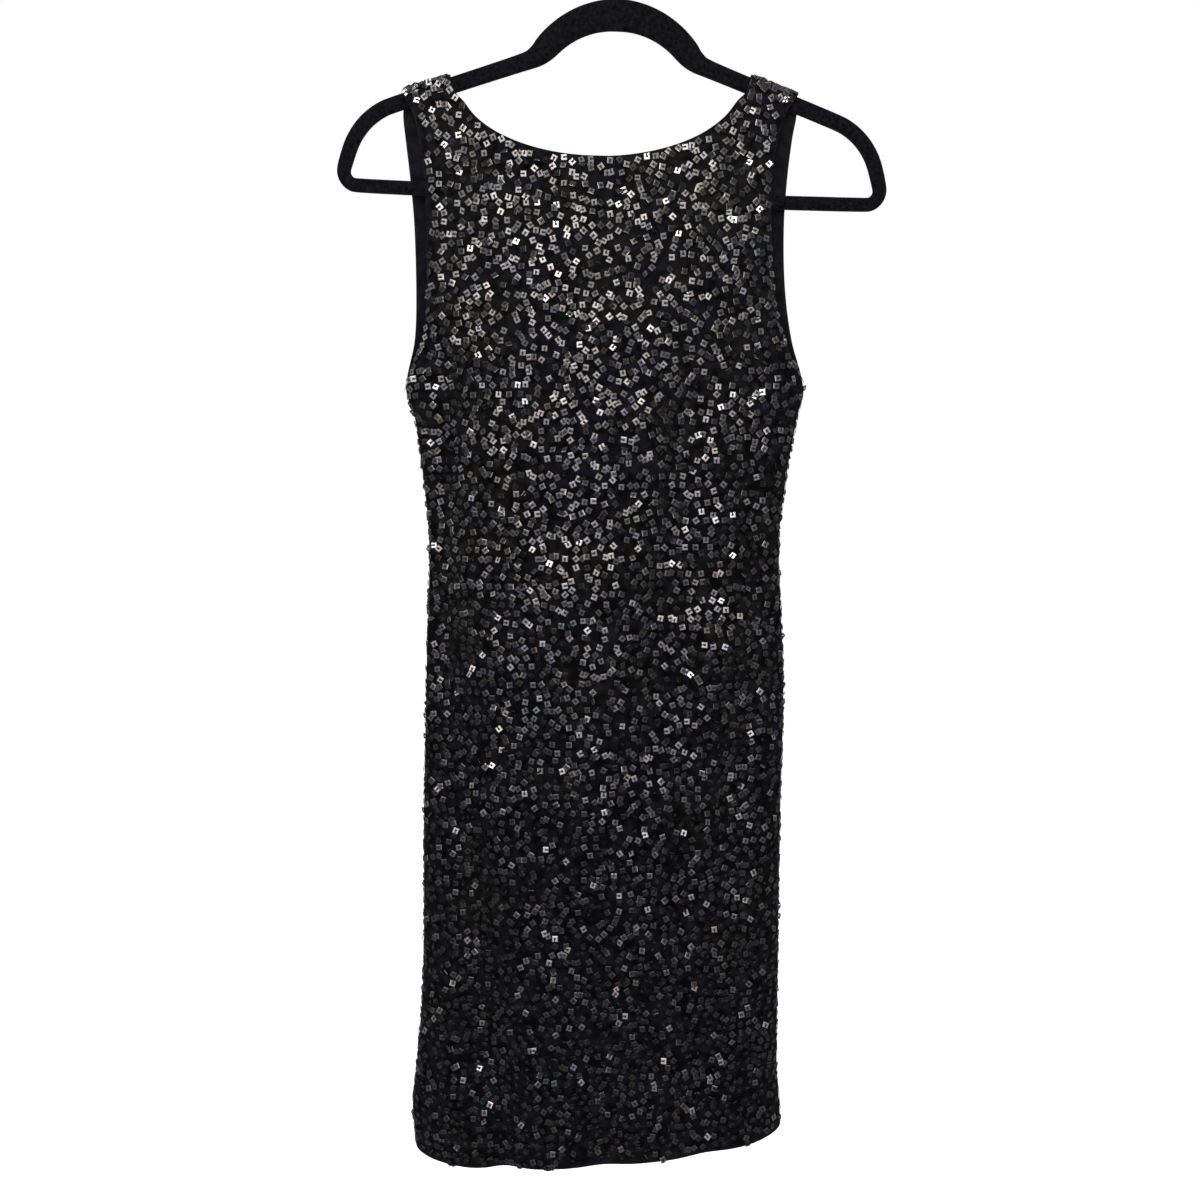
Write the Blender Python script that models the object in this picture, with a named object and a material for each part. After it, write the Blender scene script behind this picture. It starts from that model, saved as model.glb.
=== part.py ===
"""A sleeveless sequinned cocktail dress hanging on a flocked hanger: its construction.

Metres, +Z up, and the front of the dress faces -Y. The origin is the point inside the
hanger's hook that rests on a rail, so the whole part hangs below it. Sizes in the tables
are millimetres, measured from the middle of the dress (x) and from the rail (height).
"""

import math
from collections import namedtuple

import bmesh
import bpy
from mathutils import Matrix, Vector

MM = 0.001

# ---- Cloth -------------------------------------------------------------------------
CLOTH = 1.6 * MM  # net, stitches and lining together
SEAM_GAP = 0.3 * MM  # left between two pieces that are sewn together
FACING = 1.0 * MM  # the folded jersey strip inside the back armholes
FACING_WIDTH = 17.0 * MM
REST_GAP = 0.4 * MM  # between the cloth and the hanger that carries it
DRESS_X = -16.6 * MM  # the dress hangs this far to the left of the hook

# ---- Hanger ------------------------------------------------------------------------
HANGER_THICK = 5.5 * MM
HANGER_EDGE = 2.0 * MM  # radius of the frame's rounded edges
HANGER_ROLL = math.radians(2.1)  # the loaded hanger hangs a little lower on the right
CROWN_WIDTH = 24.0 * MM
HOOK_TO_CROWN = 78.0 * MM
HOOK_WIRE = 3.8 * MM
HOOK_INNER_RADIUS = 19.0 * MM
HOOK_START = math.radians(-52)  # where the bend meets the stem, round from +X
HOOK_END = math.radians(205)
HOOK_STEPS = 22
STEM_CURVE = 24.0 * MM  # height over which the straight stem leans out to the bend
STEM_CURVE_PULL = 12.0 * MM  # how softly it does so
STEM_STEPS = 8
ARMS_ABOVE = -200 * MM  # the frame's arms lie above this height, its bar below it

# ---- The dress, level by level -----------------------------------------------------
# left and right: how far the side reaches from the middle. inset: how much further in
# the front's armhole is cut than the back's. edge: how far the panel's own edge stands
# off the middle plane. front and back: how far each panel then bulges out.
Level = namedtuple("Level", "name height left right inset edge front back")
LEVELS = [
    Level("shoulder end", -150, 160.0, 158.5, 0.0, 6.2, 0.4, 0.4),
    Level("strap top", -163, 161.5, 159.0, 9.5, 6.2, 1.5, 1.0),
    Level("strap", -180, 160.0, 156.0, 13.0, 6.2, 3.2, 2.2),
    Level("upper armhole", -212, 156.5, 152.5, 14.0, 6.2, 7.0, 4.0),
    Level("middle armhole", -250, 153.5, 150.8, 12.5, 6.2, 10.0, 6.5),
    Level("lower armhole", -300, 153.0, 153.2, 11.5, 6.2, 14.0, 9.5),
    Level("armhole curve", -340, 154.8, 159.2, 8.5, 4.8, 18.5, 13.0),
    Level("armhole base", -380, 162.0, 169.0, 0.0, 0.15, 25.0, 18.0),
    Level("bust", -402, 155.5, 164.6, 0.0, 0.15, 27.0, 19.5),
    Level("under the bust", -456, 149.0, 156.0, 0.0, 0.15, 28.5, 21.5),
    Level("waist", -510, 145.6, 151.6, 0.0, 0.15, 29.0, 22.0),
    Level("high hip", -628, 150.8, 158.2, 0.0, 0.15, 33.0, 25.0),
    Level("hip", -750, 155.5, 158.2, 0.0, 0.15, 35.5, 27.0),
    Level("thigh", -900, 160.0, 159.8, 0.0, 0.15, 37.0, 29.0),
    Level("flare", -985, 168.0, 161.0, 0.0, 0.15, 38.0, 30.0),
    Level("near the hem", -1022, 172.2, 164.2, 0.0, 0.15, 38.5, 30.5),
    Level("hem", -1062, 170.2, 167.6, 0.0, 0.15, 39.0, 31.0),
]
ARMHOLE_BASE = -380 * MM
SIDE_POWER = 2.4  # 2 would be an ellipse across the dress; more is flatter with rounder sides
HemPoint = namedtuple("HemPoint", "across height")
HEM = [
    HemPoint(-173, -1060.0),
    HemPoint(-150, -1063.0),
    HemPoint(-100, -1065.5),
    HemPoint(-50, -1060.5),
    HemPoint(0, -1057.5),
    HemPoint(50, -1053.0),
    HemPoint(100, -1049.0),
    HemPoint(140, -1044.5),
    HemPoint(169, -1039.0),
]

# ---- Neckline and shoulders --------------------------------------------------------
NECK_HALF_WIDTH = 121.0 * MM
SHOULDER_HALF_WIDTH = 158.0 * MM
NECK_POWER = 2.0
NECK_DROP = {"front": 69.0 * MM, "back": 78.0 * MM}  # down the cloth from the shoulder seam

# ---- Folds -------------------------------------------------------------------------
# Soft vertical troughs. Each runs from top to bottom through three places across the
# dress, fades in and out, and sinks by depth; a negative depth is a ridge.
Fold = namedtuple("Fold", "name top bottom x_top x_mid x_bottom half_width depth")
FOLDS = {
    "front": [
        Fold("left, from the armhole", -310, -680, -126, -131, -134, 17, 6.5),
        Fold("left, to the hem", -560, -1200, -134, -106, -74, 21, 7.5),
        Fold("left of the waist", -430, -610, -106, -96, -82, 14, 3.5),
        Fold("right, below the bust", -340, -730, 78, 60, 35, 18, 6.0),
        Fold("right side", -440, -640, 131, 130, 131, 14, 3.5),
        Fold("right hip", -610, -840, 118, 112, 106, 17, 4.5),
        Fold("middle of the hem", -900, -1200, 8, 3, -4, 20, 3.5),
        Fold("right of the hem", -860, -1200, 84, 92, 104, 20, 3.5),
        Fold("middle ridge", -470, -830, 12, 2, -22, 24, -3.5),
        Fold("right ridge", -500, -680, 98, 101, 100, 17, -3.0),
    ],
    "back": [
        Fold("left, from the armhole", -330, -760, -104, -98, -88, 19, 5.5),
        Fold("left, to the hem", -640, -1200, -118, -110, -98, 21, 6.5),
        Fold("middle of the waist", -420, -700, -18, -10, 4, 20, 4.0),
        Fold("right, from the armhole", -350, -820, 112, 98, 78, 18, 6.0),
        Fold("right, to the hem", -780, -1200, 46, 52, 66, 22, 5.5),
        Fold("middle ridge", -600, -1000, -36, -44, -50, 24, -3.5),
    ],
}
FOLD_FADE = 90 * MM
FOLD_FREE_SHARE = 0.05  # of a panel's width at each side, where the folds die out

# ---- Mesh resolution ---------------------------------------------------------------
STRAP_COLUMNS = 4
NECK_COLUMNS = 22
EDGE_ROWS = 4  # rows that turn over the shoulder
UPPER_ROWS = 11
LOWER_ROWS = 24
SECTION_STEPS = 120
SIDE_CROWDING = 0.55  # 0 spaces the columns evenly; 1 crowds them towards the sides
NECK_CROWDING = 1.35  # above 1 crowds the neckline's columns towards its steep ends

COLOURS = {
    "sequinned net": ((0.020, 0.020, 0.022, 1), 0.35, 0.0),
    "lining jersey": ((0.012, 0.012, 0.014, 1), 0.85, 0.0),
    "flocked plastic": ((0.008, 0.008, 0.009, 1), 0.95, 0.0),
    "plated steel": ((0.62, 0.62, 0.63, 1), 0.18, 1.0),
}


# ---- Helpers -----------------------------------------------------------------------
def clear_scene():
    for obj in list(bpy.data.objects):
        bpy.data.objects.remove(obj, do_unlink=True)


def material(name):
    found = bpy.data.materials.get(name)
    if found:
        return found
    made = bpy.data.materials.new(name)
    made.use_nodes = True
    shader = made.node_tree.nodes["Principled BSDF"]
    colour, roughness, metallic = COLOURS[name]
    shader.inputs["Base Color"].default_value = colour
    shader.inputs["Roughness"].default_value = roughness
    shader.inputs["Metallic"].default_value = metallic
    return made


def mix(a, b, share):
    return a + (b - a) * share


def smooth(share):
    share = min(1.0, max(0.0, share))
    return share * share * (3 - 2 * share)


def at_height(column, height):
    """A column of LEVELS at a height, in metres, on a smooth curve through its rows."""
    rows = LEVELS
    values = [getattr(row, column) * MM for row in rows]
    heights = [row.height * MM for row in rows]
    if height >= heights[0]:
        return values[0]
    if height <= heights[-1]:
        return values[-1]
    k = next(i for i in range(len(rows) - 1) if heights[i + 1] <= height)

    def slope(i):
        below, above = min(i + 1, len(rows) - 1), max(i - 1, 0)
        return (values[below] - values[above]) / (heights[below] - heights[above])

    span = heights[k + 1] - heights[k]
    t = (height - heights[k]) / span
    start, end = slope(k) * span, slope(k + 1) * span
    a = 2 * (values[k] - values[k + 1]) + start + end
    b = 3 * (values[k + 1] - values[k]) - 2 * start - end
    return ((a * t + b) * t + start) * t + values[k]


def hem_height(x):
    for before, after in zip(HEM, HEM[1:]):
        if x <= after.across * MM:
            break
    share = (x - before.across * MM) / ((after.across - before.across) * MM)
    return mix(before.height, after.height, max(0.0, min(1.0, share))) * MM


# ---- The hanger's frame ------------------------------------------------------------
# Half of the frame's centre line, from the crown down an arm and back along the bar.
# A positive turn is clockwise; a straight has no turn.
Piece = namedtuple("Piece", "name length radius turn steps width")
HANGER_LINE = [
    Piece("hump", 0, 74, 50.0, 9, 20.0),
    Piece("neck of the arm", 0, 36, -31.0, 4, 12.4),
    Piece("arm", 111.4, 0, 0.0, 2, 12.0),
    Piece("shoulder end", 0, 56, 54.0, 7, 12.0),
    Piece("end", 13.0, 0, 0.0, 1, 11.5),
    Piece("corner", 0, 11, 106.5, 6, 11.0),
    Piece("bar", 207, 0, 0.0, 3, 11.0),
]


def hanger_line():
    """Centre points of the half frame, with the direction and the width at each."""
    x, z, heading, before = 0.0, -CROWN_WIDTH / 2, 0.0, CROWN_WIDTH
    stations = [(x, z, heading, CROWN_WIDTH)]
    for piece in HANGER_LINE:
        turn = math.radians(piece.turn) / piece.steps
        for step in range(piece.steps):
            if turn:
                chord = 2 * piece.radius * MM * math.sin(abs(turn) / 2)
            else:
                chord = piece.length * MM / piece.steps
            heading -= turn / 2
            x += chord * math.cos(heading)
            z += chord * math.sin(heading)
            heading -= turn / 2
            width = mix(before, piece.width * MM, (step + 1) / piece.steps)
            stations.append((x, z, heading, width))
        before = piece.width * MM
    stations[-1] = (0.0, z, heading, before)
    return stations


def hang(point):
    """Moves a point from the hanger's own frame, crown at zero, to where it hangs."""
    centre = Vector((0, 0, -HOOK_INNER_RADIUS))
    unrolled = Vector(point) + Vector((0, 0, -HOOK_TO_CROWN))
    return Matrix.Rotation(HANGER_ROLL, 3, "Y") @ (unrolled - centre) + centre


def frame_stations():
    """The closed frame as stations of (middle, outward direction, width)."""
    right = hanger_line()
    left = [(-x, z, -heading, width) for x, z, heading, width in right[1:-1]]
    stations = []
    for x, z, heading, width in right + left[::-1]:
        outward = Vector((-math.sin(heading), 0, math.cos(heading)))
        stations.append((Vector((x, 0, z)), outward, width))
    return stations


def frame_section(width):
    """Points round the frame's section: (along the outward direction, along Y)."""
    side, thick, edge = width / 2, HANGER_THICK / 2, HANGER_EDGE
    points = []
    for across, deep in ((1, 1), (-1, 1), (-1, -1), (1, -1)):
        angles = (0, 45, 90) if across * deep > 0 else (90, 45, 0)
        for angle in angles:
            a = math.radians(angle)
            points.append(
                (
                    across * (side - edge + edge * math.cos(a)),
                    deep * (thick - edge + edge * math.sin(a)),
                )
            )
    return points


def arm_top(x):
    """Height of the top of the hanger's arm at a place across the part."""
    side = math.copysign(1, x)
    tops = [hang(middle + outward * width / 2) for middle, outward, width in frame_stations()]
    arm = sorted((p for p in tops if p.x * side > 0 and p.z > ARMS_ABOVE), key=lambda p: p.x * side)
    for low, high in zip(arm, arm[1:]):
        if low.x * side <= x * side <= high.x * side:
            share = (x - low.x) / (high.x - low.x)
            return mix(low.z, high.z, share)
    raise ValueError("no arm of the hanger there")


# ---- The panels --------------------------------------------------------------------
class Panel:
    """One panel of the dress, as a surface: how far across, and how far down."""

    def __init__(self, side):
        self.side = side
        self.facing = -1 if side == "front" else 1  # the way out, along Y
        stack = REST_GAP + CLOTH
        strap = SHOULDER_HALF_WIDTH - NECK_HALF_WIDTH
        self.seam, self.drop = {}, {}
        for s in (-1, 1):
            neck_end = arm_top(s * NECK_HALF_WIDTH + DRESS_X)
            self.drop[s] = neck_end - arm_top(s * SHOULDER_HALF_WIDTH + DRESS_X)
            self.seam[s] = neck_end + stack * math.hypot(1, self.drop[s] / strap)

    def seam_height(self, x):
        """Height of the shoulder seam, which lies on the hanger's arm."""
        s = -1 if x < 0 else 1
        reach = min(max(abs(x), NECK_HALF_WIDTH), SHOULDER_HALF_WIDTH)
        share = (reach - NECK_HALF_WIDTH) / (SHOULDER_HALF_WIDTH - NECK_HALF_WIDTH)
        return self.seam[s] - self.drop[s] * share

    def fold(self, x, height):
        """How far the folds sink the cloth here."""
        sunk = 0.0
        for f in FOLDS[self.side]:
            t = (f.top * MM - height) / ((f.top - f.bottom) * MM)
            if not 0 < t < 1:
                continue
            line = mix(mix(f.x_top, f.x_mid, t), mix(f.x_mid, f.x_bottom, t), t) * MM
            fade = smooth(min(t, 1 - t) * (f.top - f.bottom) * MM / FOLD_FADE)
            sunk += f.depth * MM * fade * math.exp(-(((x - line) / (f.half_width * MM)) ** 2))
        return sunk

    def section(self, height):
        """The panel's line across the dress at a height, as (share of its length, x, y)."""
        left, right = at_height("left", height), at_height("right", height)
        if self.side == "front":
            left -= at_height("inset", height)
            right -= at_height("inset", height)
        edge, bulge = at_height("edge", height), at_height(self.side, height)
        middle, half = (right - left) / 2, (right + left) / 2
        line = []
        for k in range(SECTION_STEPS + 1):
            a = math.pi * (k / SECTION_STEPS - 0.5)
            across = math.copysign(abs(math.sin(a)) ** (2 / SIDE_POWER), a)
            deep = max(0.0, math.cos(a)) ** (2 / SIDE_POWER)
            line.append((middle + half * across, edge + bulge * deep))
        walked = [0.0]
        for (x0, y0), (x1, y1) in zip(line, line[1:]):
            walked.append(walked[-1] + math.hypot(x1 - x0, y1 - y0))
        return [(w / walked[-1], x, y) for w, (x, y) in zip(walked, line)]

    def share_at(self, x, height):
        line = self.section(height)
        for (s0, x0, _), (s1, x1, _) in zip(line, line[1:]):
            if x0 <= x <= x1:
                return mix(s0, s1, (x - x0) / (x1 - x0))
        return 0.0 if x < 0 else 1.0

    def point(self, share, height):
        """A point on the outside of the panel, in the dress's own frame."""
        line = self.section(height)
        k = next(i for i in range(SECTION_STEPS) if share <= line[i + 1][0] or i == SECTION_STEPS - 1)
        (s0, x0, y0), (s1, x1, y1) = line[k], line[k + 1]
        t = (share - s0) / (s1 - s0)
        x, y = mix(x0, x1, t), mix(y0, y1, t)
        ends = smooth(min(share, 1 - share) / FOLD_FREE_SHARE)
        sunk = self.fold(x, height) * ends
        length = math.hypot(x1 - x0, y1 - y0)
        x -= sunk * (y0 - y1) / length
        y -= sunk * (x1 - x0) / length
        return x, y

    def column_tops(self):
        """For each column: where it starts across the dress, and how far down the cloth."""
        strap = SHOULDER_HALF_WIDTH - NECK_HALF_WIDTH
        left = [(-SHOULDER_HALF_WIDTH + strap * k / STRAP_COLUMNS, 0.0) for k in range(STRAP_COLUMNS + 1)]
        half = NECK_COLUMNS // 2
        for k in range(1, half + 1):
            a = math.pi / 2 * (k / half) ** NECK_CROWDING
            across = max(0.0, math.cos(a)) ** (2 / NECK_POWER)
            down = math.sin(a) ** (2 / NECK_POWER)
            left.append((-NECK_HALF_WIDTH * across, NECK_DROP[self.side] * down))
        return left + [(-x, down) for x, down in left[-2::-1]]

    def column(self, k, count, x_top, down):
        """One column of points from the shoulder or the neckline to the hem."""
        seam = self.seam_height(x_top)
        base_share = mix(k / count, 0.5 - 0.5 * math.cos(math.pi * k / count), SIDE_CROWDING)
        off = at_height("edge", seam) + at_height(self.side, seam) - SEAM_GAP / 2
        turn_length = off * math.pi / 2
        turn_step = turn_length / EDGE_ROWS
        points = []
        top_share = self.share_at(x_top, seam - max(0.0, down - turn_length))
        for row in range(EDGE_ROWS + 1):
            walked = down + row * turn_step
            height = seam - off - (walked - turn_length)
            y = None
            if walked < turn_length:
                height = seam - off + off * math.cos(walked / off)
                y = SEAM_GAP / 2 + off * math.sin(walked / off)
            x, y_below = self.point(top_share, height)
            points.append((x, y_below if y is None else y, height))
        start = points[-1][2]
        for row in range(1, UPPER_ROWS + 1):
            t = row / UPPER_ROWS
            height = mix(start, ARMHOLE_BASE, t)
            share = mix(top_share, base_share, smooth(t))
            x, y = self.point(share, height)
            points.append((x, y, height))
        x, _ = self.point(base_share, HEM[0].height * MM)
        hem = hem_height(x)
        for row in range(1, LOWER_ROWS + 1):
            height = mix(ARMHOLE_BASE, hem, row / LOWER_ROWS)
            x, y = self.point(base_share, height)
            points.append((x, y, height))
        return points

    def grid(self):
        """Columns of points on the outside of the panel, in the part's frame."""
        tops = self.column_tops()
        count = len(tops) - 1
        return [
            [Vector((x + DRESS_X, self.facing * y, z)) for x, y, z in self.column(k, count, *top)]
            for k, top in enumerate(tops)
        ]


def grid_normals(grid, facing):
    """The way out at each point of a panel's grid; a sewn edge's lies in the middle plane."""
    normals = []
    for i, column in enumerate(grid):
        before, after = grid[max(i - 1, 0)], grid[min(i + 1, len(grid) - 1)]
        line = []
        for j, place in enumerate(column):
            across = after[j] - before[j]
            down = column[min(j + 1, len(column) - 1)] - column[max(j - 1, 0)]
            normal = down.cross(across) if facing < 0 else across.cross(down)
            if abs(place.y) < SEAM_GAP:
                normal.y = 0.0
            line.append(normal.normalized())
        normals.append(line)
    return normals


def moved_in(grid, normals, depth, facing):
    """The same points, a depth further in, kept on their own side of the middle plane."""
    moved = []
    for column, line in zip(grid, normals):
        places = [place - normal * depth for place, normal in zip(column, line)]
        for place in places:
            place.y = facing * max(place.y * facing, SEAM_GAP / 2)
        moved.append(places)
    return moved


def wall_object(name, outside, inside, finish):
    """A closed wall between two grids of points that match each other."""
    mesh = bpy.data.meshes.new(name)
    shape = bmesh.new()
    outer = [[shape.verts.new(place) for place in column] for column in outside]
    inner = [[shape.verts.new(place) for place in column] for column in inside]
    last, end = len(outer) - 1, len(outer[0]) - 1
    for i in range(last):
        for j in range(end):
            shape.faces.new((outer[i][j], outer[i][j + 1], outer[i + 1][j + 1], outer[i + 1][j]))
            shape.faces.new((inner[i][j], inner[i + 1][j], inner[i + 1][j + 1], inner[i][j + 1]))
        for j in (0, end):
            shape.faces.new((outer[i][j], outer[i + 1][j], inner[i + 1][j], inner[i][j]))
    for i in (0, last):
        for j in range(end):
            shape.faces.new((outer[i][j], outer[i][j + 1], inner[i][j + 1], inner[i][j]))
    bmesh.ops.recalc_face_normals(shape, faces=shape.faces)
    shape.to_mesh(mesh)
    shape.free()
    mesh.shade_smooth()
    obj = bpy.data.objects.new(name, mesh)
    bpy.context.scene.collection.objects.link(obj)
    mesh.materials.append(material(finish))
    return obj


def make_panel(side):
    panel = Panel(side)
    grid = panel.grid()
    normals = grid_normals(grid, panel.facing)
    inside = moved_in(grid, normals, CLOTH, panel.facing)
    return wall_object(side + "_panel", grid, inside, "sequinned net")


def make_facing(side_name, columns):
    """The strip inside a back armhole, made from the panel's own points moved in."""
    panel = Panel("back")
    grid = panel.grid()
    normals = grid_normals(grid, panel.facing)
    strip, ways = [[], [], []], [[], [], []]
    for j in range(EDGE_ROWS, EDGE_ROWS + UPPER_ROWS):
        path = [(grid[k][j], normals[k][j]) for k in columns]
        walked = 0.0
        wanted = [0.0, FACING_WIDTH / 2, FACING_WIDTH]
        for (start, start_out), (end, end_out) in zip(path, path[1:]):
            length = (end - start).length
            while wanted and wanted[0] <= walked + length:
                share = (wanted.pop(0) - walked) / length
                strip[2 - len(wanted)].append(start.lerp(end, share))
                ways[2 - len(wanted)].append(start_out.lerp(end_out, share).normalized())
            walked += length
    outside = moved_in(strip, ways, CLOTH + SEAM_GAP, panel.facing)
    inside = moved_in(strip, ways, CLOTH + SEAM_GAP + FACING, panel.facing)
    name = "back_armhole_facing_" + side_name
    return wall_object(name, outside, inside, "lining jersey")


def make_hanger_frame():
    mesh = bpy.data.meshes.new("hanger_frame")
    shape = bmesh.new()
    rings = []
    for middle, outward, width in frame_stations():
        ring = []
        for across, deep in frame_section(width):
            ring.append(shape.verts.new(hang(middle + outward * across + Vector((0, deep, 0)))))
        rings.append(ring)
    for a, b in zip(rings, rings[1:] + rings[:1]):
        for j in range(len(a)):
            n = (j + 1) % len(a)
            shape.faces.new((a[j], a[n], b[n], b[j]))
    bmesh.ops.recalc_face_normals(shape, faces=shape.faces)
    shape.to_mesh(mesh)
    shape.free()
    mesh.shade_smooth()
    obj = bpy.data.objects.new("hanger_frame", mesh)
    bpy.context.scene.collection.objects.link(obj)
    mesh.materials.append(material("flocked plastic"))
    return obj


def hook_route():
    """The hook's wire: up from the crown, out to one side and round over the rail."""
    radius = HOOK_INNER_RADIUS + HOOK_WIRE / 2
    centre = HOOK_TO_CROWN - HOOK_INNER_RADIUS  # above the crown
    join_x = radius * math.cos(HOOK_START)
    join_z = centre + radius * math.sin(HOOK_START)
    stem_top = join_z - STEM_CURVE
    route = [(0.0, SEAM_GAP), (0.0, stem_top * 0.5), (0.0, stem_top)]
    start, end = Vector((0.0, stem_top)), Vector((join_x, join_z))
    leave = start + Vector((0, STEM_CURVE_PULL))
    arrive = end + Vector((math.sin(HOOK_START), -math.cos(HOOK_START))) * STEM_CURVE_PULL
    for k in range(1, STEM_STEPS):
        t = k / STEM_STEPS
        a, b, c = start.lerp(leave, t), leave.lerp(arrive, t), arrive.lerp(end, t)
        route.append(tuple(a.lerp(b, t).lerp(b.lerp(c, t), t)))
    for k in range(HOOK_STEPS + 1):
        a = mix(HOOK_START, HOOK_END, k / HOOK_STEPS)
        route.append((radius * math.cos(a), centre + radius * math.sin(a)))
    return [hang((x, 0, z)) for x, z in route]


def make_hook():
    curve = bpy.data.curves.new("hanger_hook", "CURVE")
    curve.dimensions = "3D"
    curve.bevel_depth = HOOK_WIRE / 2
    curve.bevel_resolution = 2
    curve.use_fill_caps = True
    route = hook_route()
    spline = curve.splines.new("POLY")
    spline.points.add(len(route) - 1)
    for point, place in zip(spline.points, route):
        point.co = (*place, 1)
    obj = bpy.data.objects.new("hanger_hook", curve)
    bpy.context.scene.collection.objects.link(obj)
    curve.materials.append(material("plated steel"))
    return obj


def main():
    clear_scene()
    make_panel("front")
    make_panel("back")
    last = 2 * STRAP_COLUMNS + NECK_COLUMNS
    make_facing("left", (0, 1, 2, 3))
    make_facing("right", (last, last - 1, last - 2, last - 3))
    make_hanger_frame()
    make_hook()


main()
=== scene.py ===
# %% [markdown]
# # A sequinned cocktail dress on a flocked hanger
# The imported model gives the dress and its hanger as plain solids, in metres, hanging from the
# point inside the hook that rests on a rail. This lesson turns them into what the eye expects:
# a soft knit dress with a jersey lining, about ten thousand square sequins sewn on in wandering
# lines, a velvety hanger and a bright wire hook. Each step says what the real thing is, how it
# could be made, and why it is made this way here.

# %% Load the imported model
import math
import random
from collections import namedtuple

import bpy
import numpy as np
from mathutils import Matrix, Vector
from mathutils.bvhtree import BVHTree
from mathutils.kdtree import KDTree


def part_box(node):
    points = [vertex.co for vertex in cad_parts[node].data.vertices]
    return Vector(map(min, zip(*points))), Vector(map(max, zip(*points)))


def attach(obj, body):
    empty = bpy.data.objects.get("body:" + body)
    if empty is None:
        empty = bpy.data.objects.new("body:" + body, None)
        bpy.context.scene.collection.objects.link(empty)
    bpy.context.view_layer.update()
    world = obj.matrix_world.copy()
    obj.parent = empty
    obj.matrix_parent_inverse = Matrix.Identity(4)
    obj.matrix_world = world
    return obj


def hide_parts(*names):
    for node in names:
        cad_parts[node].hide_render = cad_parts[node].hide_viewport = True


MM = 0.001
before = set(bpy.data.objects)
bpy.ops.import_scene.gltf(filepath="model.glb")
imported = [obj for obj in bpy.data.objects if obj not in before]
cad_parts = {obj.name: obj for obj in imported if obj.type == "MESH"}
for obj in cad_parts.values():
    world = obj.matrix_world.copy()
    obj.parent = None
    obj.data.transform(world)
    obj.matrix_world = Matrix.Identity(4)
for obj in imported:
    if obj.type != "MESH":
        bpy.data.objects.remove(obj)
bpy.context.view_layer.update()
print("packed nodes:", sorted(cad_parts))


# %% [markdown]
# ## Small helpers
# Blender's operators act on whatever is selected, so every step starts by clearing the
# selection. Colours are written as the hex values that a designer would use, and one function
# turns them into the linear light that the renderer works in. Material nodes are all added by
# one function, which takes what feeds a node, a ramp's colours and the node's own settings.

# %% Helpers for operators, colours and nodes
SIDES = ("front", "back")
FACING = {"front": -1, "back": 1}  # the way along y that each side of the dress faces


def select_only(obj):
    bpy.ops.object.select_all(action="DESELECT")
    obj.select_set(True)
    bpy.context.view_layer.objects.active = obj


def show(name, mesh):
    """A new object of the scene that has this mesh."""
    obj = bpy.data.objects.new(name, mesh)
    bpy.context.collection.objects.link(obj)
    return obj


def colour(code):
    """The linear colour of an sRGB hex value such as '#c8bfb0'."""
    parts = [int(code[i : i + 2], 16) / 255 for i in (1, 3, 5)]
    return tuple(p / 12.92 if p <= 0.04045 else ((p + 0.055) / 1.055) ** 2.4 for p in parts) + (1,)


def add_node(tree, kind, inputs=None, stops=(), **settings):
    """A new node. inputs holds, for each socket, a value or the output that feeds it."""
    made = tree.nodes.new(kind)
    for key, value in settings.items():
        setattr(made, key, value)
    for key, value in (inputs or {}).items():
        if isinstance(value, bpy.types.NodeSocket):
            tree.links.new(value, made.inputs[key])
        else:
            made.inputs[key].default_value = value
    for k, (code, at) in enumerate(stops):  # a ramp's two colours, each with its place
        made.color_ramp.elements[k].color = colour(code)
        made.color_ramp.elements[k].position = at
    return made


def new_material(name, **sockets):
    """A material, its nodes, its shader and the place that its patterns are read at.

    The sockets are those that are the same all over the piece.
    """
    made = bpy.data.materials.new(name)
    made.use_nodes = True
    tree = made.node_tree
    shader = tree.nodes["Principled BSDF"]
    for key, value in sockets.items():
        shader.inputs[key.replace("_", " ")].default_value = value
    return made, tree, shader, add_node(tree, "ShaderNodeTexCoord").outputs["Object"]


# %% [markdown]
# ## The knit and the jersey
# The dress's outside is a fine black warp knit, matt and slightly fuzzy. A knit shows rows of
# small loops, about one a millimetre. They could be modelled, but a million loops would cost
# far more than they show, so two crossed waves on the cloth's own map press them in as bump.
# The map is in metres, so a scale is worked out straight from the loops' real spacing. A noise
# texture's scale counts its patches in a metre. Two of them vary the black: small worn patches,
# made paler towards the shoulders as painted light from above, and wide patches of dye, made
# warmer above and colder below as a painted tint of warm light above and colder light below.

# %% Cloth materials
LOOP = 1.1 * MM  # spacing of the knit's loops, a little coarse so that it shows at all
RIB = 0.8 * MM  # spacing of the jersey's ribs
ONE_BAND = math.pi / 10  # the scale at which a wave texture repeats once a metre
# the worn and dye patches also carry painted light: paler and warmer above, colder below
WEAR_AND_PAINTED_LIGHT, DYE_AND_PAINTED_CAST = 130.0, 19.0  # patches in a metre: the worn ones are 8 mm wide, those of dye 53 mm
WARM, COLD = "#fff5ea", "#d4daff"


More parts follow.
